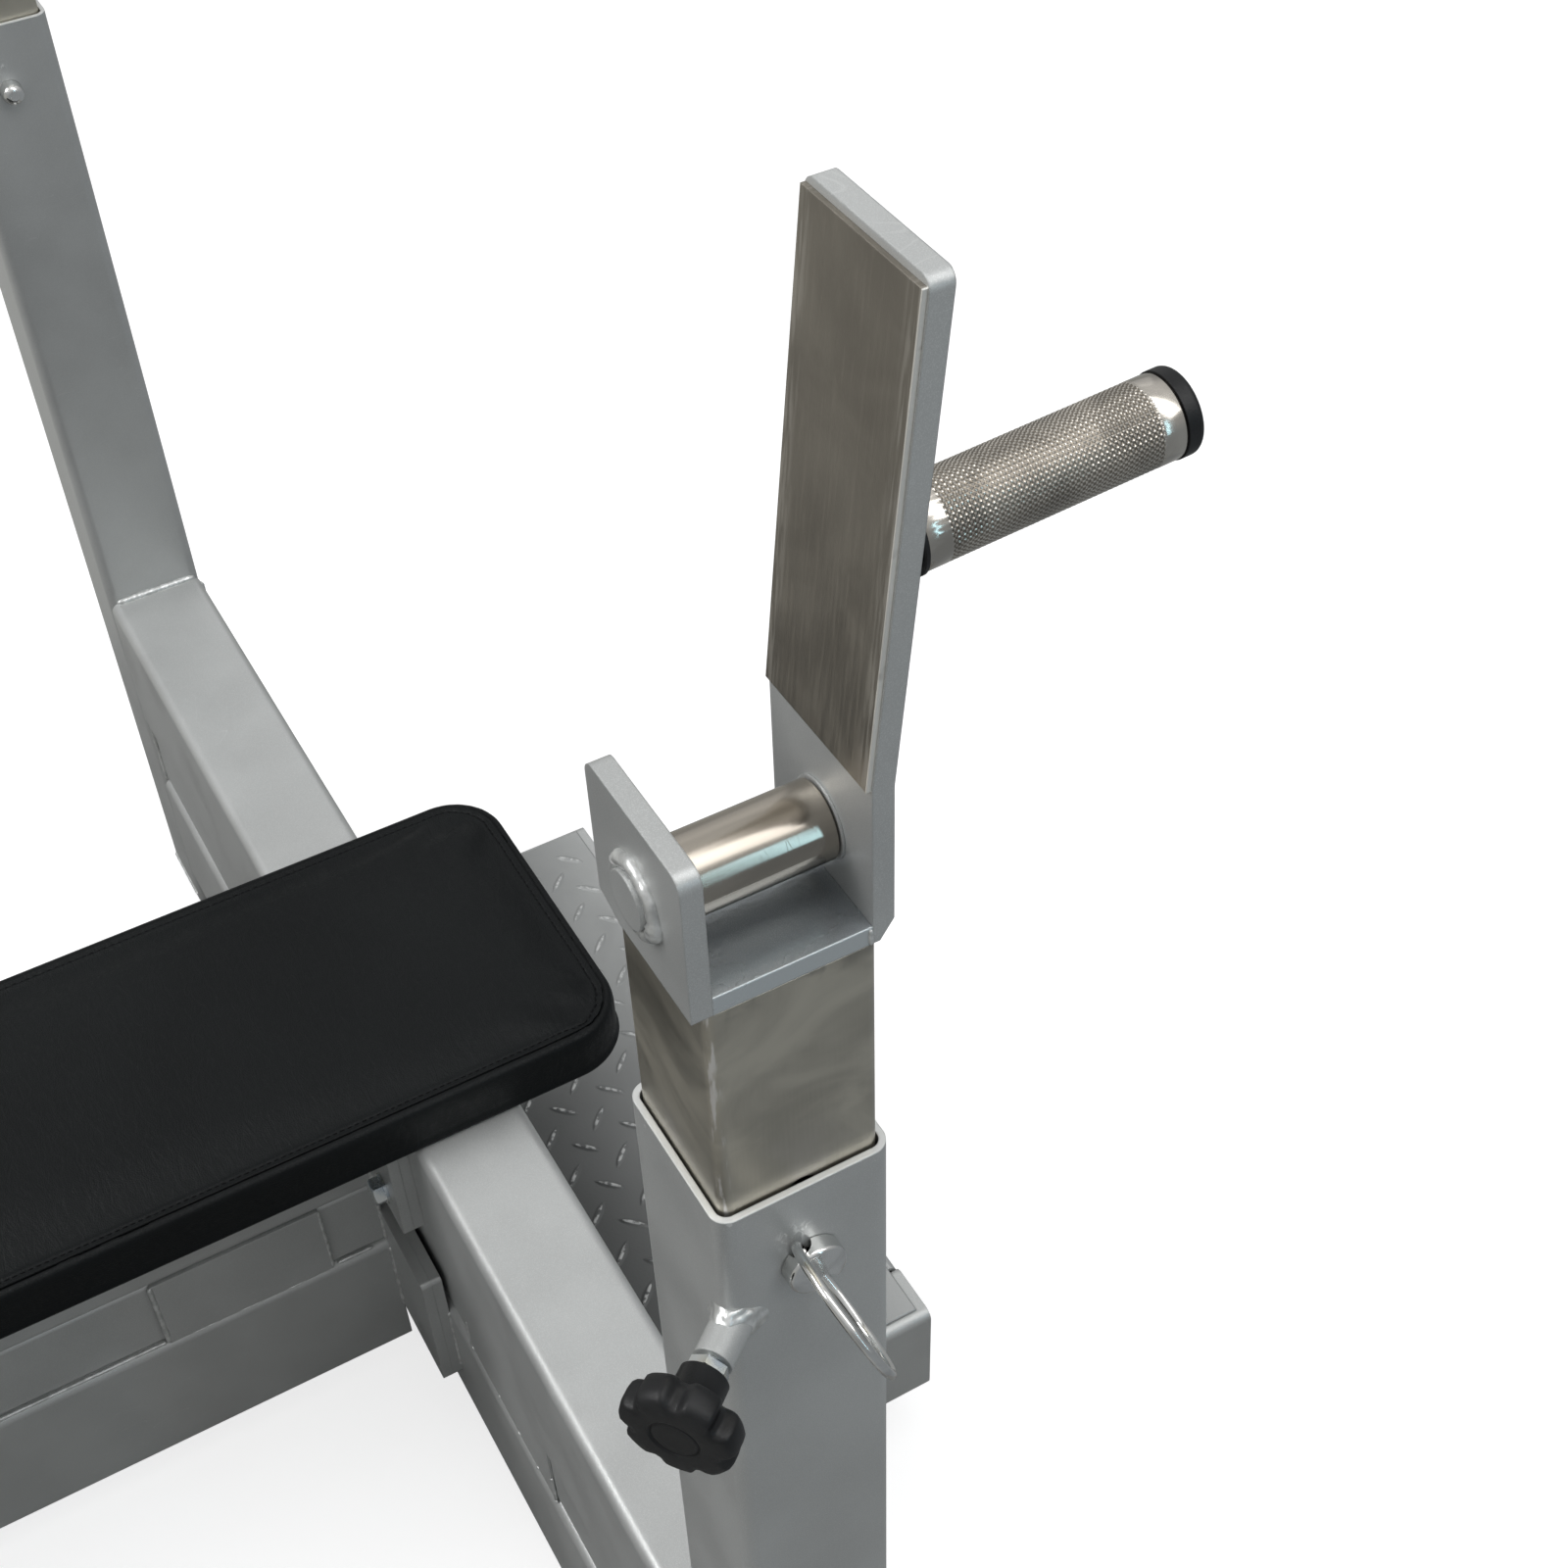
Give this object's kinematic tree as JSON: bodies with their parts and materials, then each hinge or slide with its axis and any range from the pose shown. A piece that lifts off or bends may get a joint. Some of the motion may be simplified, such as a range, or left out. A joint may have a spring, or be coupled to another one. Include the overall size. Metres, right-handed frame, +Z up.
{
  "type": "competition bench press",
  "caption": "Bench press for powerlifting: padded bench, two uprights that lift on locking pins, roller bar cradles with lift handles, and a spotter platform.",
  "frame": {"origin": "on the floor, under the middle of the overall box", "axes": "+Z up, +Y towards the head end with the spotter platform, +X to the side of the right-hand upright when looking along +Y"},
  "size_m": [1.38, 1.36, 1.303],
  "materials": {
    "frame_paint": "satin",
    "bare_steel": "satin",
    "roller_steel": "satin",
    "chrome": "gloss",
    "zinc_plate": "satin",
    "black_plastic": "matte",
    "pad_vinyl": "satin",
    "plywood": "matte",
    "tread_plate": "satin",
    "foot_rubber": "matte"
  },
  "bodies": {
    "frame": {"crossbeam_upper": "frame_paint", "crossbeam_middle": "frame_paint", "crossbeam_lower": "frame_paint", "crossbeam_fillers": "frame_paint", "spine_fillers": "frame_paint", "spine_upper": "frame_paint", "spine_middle": "frame_paint", "spine_lower": "frame_paint", "spine_front_plate": "frame_paint", "flange_plates": "frame_paint", "flange_bolts": "zinc_plate", "flange_washers": "zinc_plate", "front_foot_tube": "frame_paint", "front_foot_caps": "black_plastic", "pad_board": "plywood", "pad_cushion": "pad_vinyl", "pad_tabs": "frame_paint", "pad_screws": "zinc_plate", "platform_end_rails": "frame_paint", "platform_end_plates": "frame_paint", "platform_rear_rail": "frame_paint", "platform_tread_plate": "tread_plate", "platform_legs": "frame_paint", "upright_foot_plates": "frame_paint", "rubber_feet": "foot_rubber", "clamp_bosses": "frame_paint", "sleeve_right": "frame_paint", "sleeve_left": "frame_paint"},
    "post_right": {"post_tube_right": "bare_steel", "cradle_base_right": "frame_paint", "cradle_lip_right": "frame_paint", "cradle_guide_right": "frame_paint", "wear_strip_right": "bare_steel", "roller_axle_right": "frame_paint", "handle_spindle_right": "frame_paint"},
    "roller_right": {"roller_right": "roller_steel"},
    "grip_right": {"handle_grip_right": "chrome", "handle_inner_bush_right": "black_plastic", "handle_end_bush_right": "black_plastic"},
    "pin_right": {"lock_pin_right": "chrome"},
    "ring_right": {"pin_ring_right": "chrome"},
    "clamp_nut_right": {"clamp_nut_right": "zinc_plate"},
    "clamp_knob_right": {"clamp_stud_right": "zinc_plate", "star_knob_right": "black_plastic"},
    "post_left": {"post_tube_left": "bare_steel", "cradle_base_left": "frame_paint", "cradle_lip_left": "frame_paint", "cradle_guide_left": "frame_paint", "wear_strip_left": "bare_steel", "roller_axle_left": "frame_paint", "handle_spindle_left": "frame_paint"},
    "roller_left": {"roller_left": "roller_steel"},
    "grip_left": {"handle_grip_left": "chrome", "handle_inner_bush_left": "black_plastic", "handle_end_bush_left": "black_plastic"},
    "pin_left": {"lock_pin_left": "chrome"},
    "ring_left": {"pin_ring_left": "chrome"},
    "clamp_nut_left": {"clamp_nut_left": "zinc_plate"},
    "clamp_knob_left": {"clamp_stud_left": "zinc_plate", "star_knob_left": "black_plastic"}
  },
  "joints": [
    {"name": "post_lift_right", "type": "slide", "parent": "frame", "child": "post_right", "axis": [0, 0, 1], "range_m": [0, 0.12]},
    {"name": "roller_spin_right", "type": "hinge", "parent": "post_right", "child": "roller_right", "pos_m": [0.583, 0.408, 1.0655], "axis": [0, 1, 0], "continuous": true},
    {"name": "grip_spin_right", "type": "hinge", "parent": "post_right", "child": "grip_right", "pos_m": [0.583, 0.456, 1.182], "axis": [0, 0.9981, 0.061], "continuous": true},
    {"name": "pin_pull_right", "type": "slide", "parent": "frame", "child": "pin_right", "axis": [1, 0, 0], "range_m": [0, 0.11]},
    {"name": "ring_swing_right", "type": "hinge", "parent": "pin_right", "child": "ring_right", "pos_m": [0.6273, 0.408, 0.861], "axis": [-0.309, -0.3563, 0.8818], "range_deg": [-38, 38]},
    {"name": "clamp_travel_right", "type": "slide", "parent": "frame", "child": "clamp_nut_right", "axis": [0.6157, -0.788, 0], "range_m": [0, 0.0053]},
    {"name": "knob_turn_right", "type": "hinge", "parent": "clamp_nut_right", "child": "clamp_knob_right", "pos_m": [0.623, 0.368, 0.837], "axis": [0.6157, -0.788, 0], "range_deg": [0, 1080]},
    {"name": "post_lift_left", "type": "slide", "parent": "frame", "child": "post_left", "axis": [0, 0, 1], "range_m": [0, 0.12]},
    {"name": "roller_spin_left", "type": "hinge", "parent": "post_left", "child": "roller_left", "pos_m": [-0.583, 0.408, 1.0655], "axis": [0, 1, 0], "continuous": true},
    {"name": "grip_spin_left", "type": "hinge", "parent": "post_left", "child": "grip_left", "pos_m": [-0.583, 0.456, 1.182], "axis": [0, 0.9981, 0.061], "continuous": true},
    {"name": "pin_pull_left", "type": "slide", "parent": "frame", "child": "pin_left", "axis": [-1, 0, 0], "range_m": [0, 0.11]},
    {"name": "ring_swing_left", "type": "hinge", "parent": "pin_left", "child": "ring_left", "pos_m": [-0.6273, 0.408, 0.861], "axis": [0.309, -0.3563, 0.8818], "range_deg": [-38, 38]},
    {"name": "clamp_travel_left", "type": "slide", "parent": "frame", "child": "clamp_nut_left", "axis": [-0.6157, -0.788, 0], "range_m": [0, 0.0053]},
    {"name": "knob_turn_left", "type": "hinge", "parent": "clamp_nut_left", "child": "clamp_knob_left", "pos_m": [-0.623, 0.368, 0.837], "axis": [-0.6157, -0.788, 0], "range_deg": [0, 1080]}
  ],
  "couplings": [
    {"joint": "clamp_travel_right", "follows": "knob_turn_right", "m_per_rad": 0.00027852},
    {"joint": "clamp_travel_left", "follows": "knob_turn_left", "m_per_rad": 0.00027852}
  ]
}
